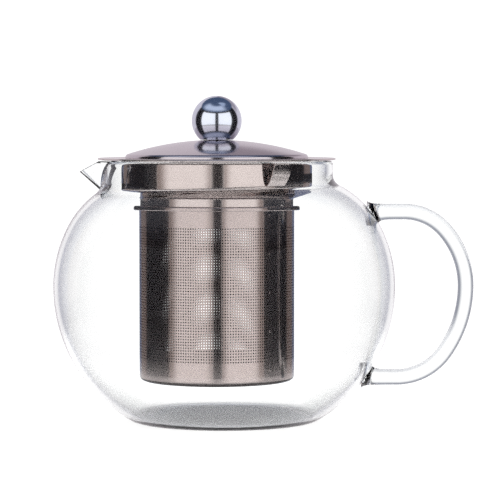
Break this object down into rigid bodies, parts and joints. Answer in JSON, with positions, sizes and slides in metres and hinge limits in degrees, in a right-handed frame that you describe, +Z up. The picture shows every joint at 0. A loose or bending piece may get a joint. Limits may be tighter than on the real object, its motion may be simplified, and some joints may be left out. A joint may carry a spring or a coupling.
{
  "type": "teapot",
  "caption": "Round clear glass teapot with a rod handle and a short beak spout, a perforated steel infuser basket that lifts out, and a domed steel lid with a ball knob.",
  "frame": {"origin": "centre of the flat base, on the bowl's own axis", "axes": "+Z up; +X toward the handle, -X toward the spout"},
  "size_m": [0.1682, 0.1368, 0.1305],
  "materials": {
    "borosilicate_glass": "clear, fire-polished",
    "polished_steel": "drawn and polished 18/8 stainless steel",
    "perforated_steel": "perforated stainless steel sheet",
    "spring_steel": "stainless spring strip",
    "lid_steel": "pressed and polished stainless steel",
    "knob_chrome": "mirror-polished"
  },
  "bodies": {
    "pot": {"glass_bowl": "borosilicate_glass", "pouring_spout": "borosilicate_glass", "glass_handle": "borosilicate_glass"},
    "infuser": {"infuser_collar": "polished_steel", "infuser_sieve": "perforated_steel", "infuser_base": "perforated_steel"},
    "tab_front": {"spring_tab_front": "spring_steel"},
    "tab_rear": {"spring_tab_rear": "spring_steel"},
    "lid": {"lid_cover": "lid_steel", "lid_skirt": "lid_steel", "knob_ball": "knob_chrome", "knob_base": "knob_chrome", "knob_washer": "lid_steel", "knob_screw": "lid_steel"}
  },
  "joints": [
    {"name": "infuser_lift", "type": "slide", "parent": "pot", "child": "infuser", "axis": [0, 0, 1], "range_m": [0, 0.11]},
    {"name": "lid_lift", "type": "slide", "parent": "infuser", "child": "lid", "axis": [0, 0, 1], "range_m": [0, 0.03]},
    {"name": "tab_front_flex", "type": "hinge", "parent": "infuser", "child": "tab_front", "pos_m": [0.01996, -0.03103, 0.0946], "axis": [-0.8039, -0.5948, 0], "range_deg": [0, 12], "stiffness_Nm_per_rad": 0.05},
    {"name": "tab_rear_flex", "type": "hinge", "parent": "infuser", "child": "tab_rear", "pos_m": [-0.02596, 0.03103, 0.0946], "axis": [0.8039, 0.5948, 0], "range_deg": [0, 12], "stiffness_Nm_per_rad": 0.05}
  ]
}
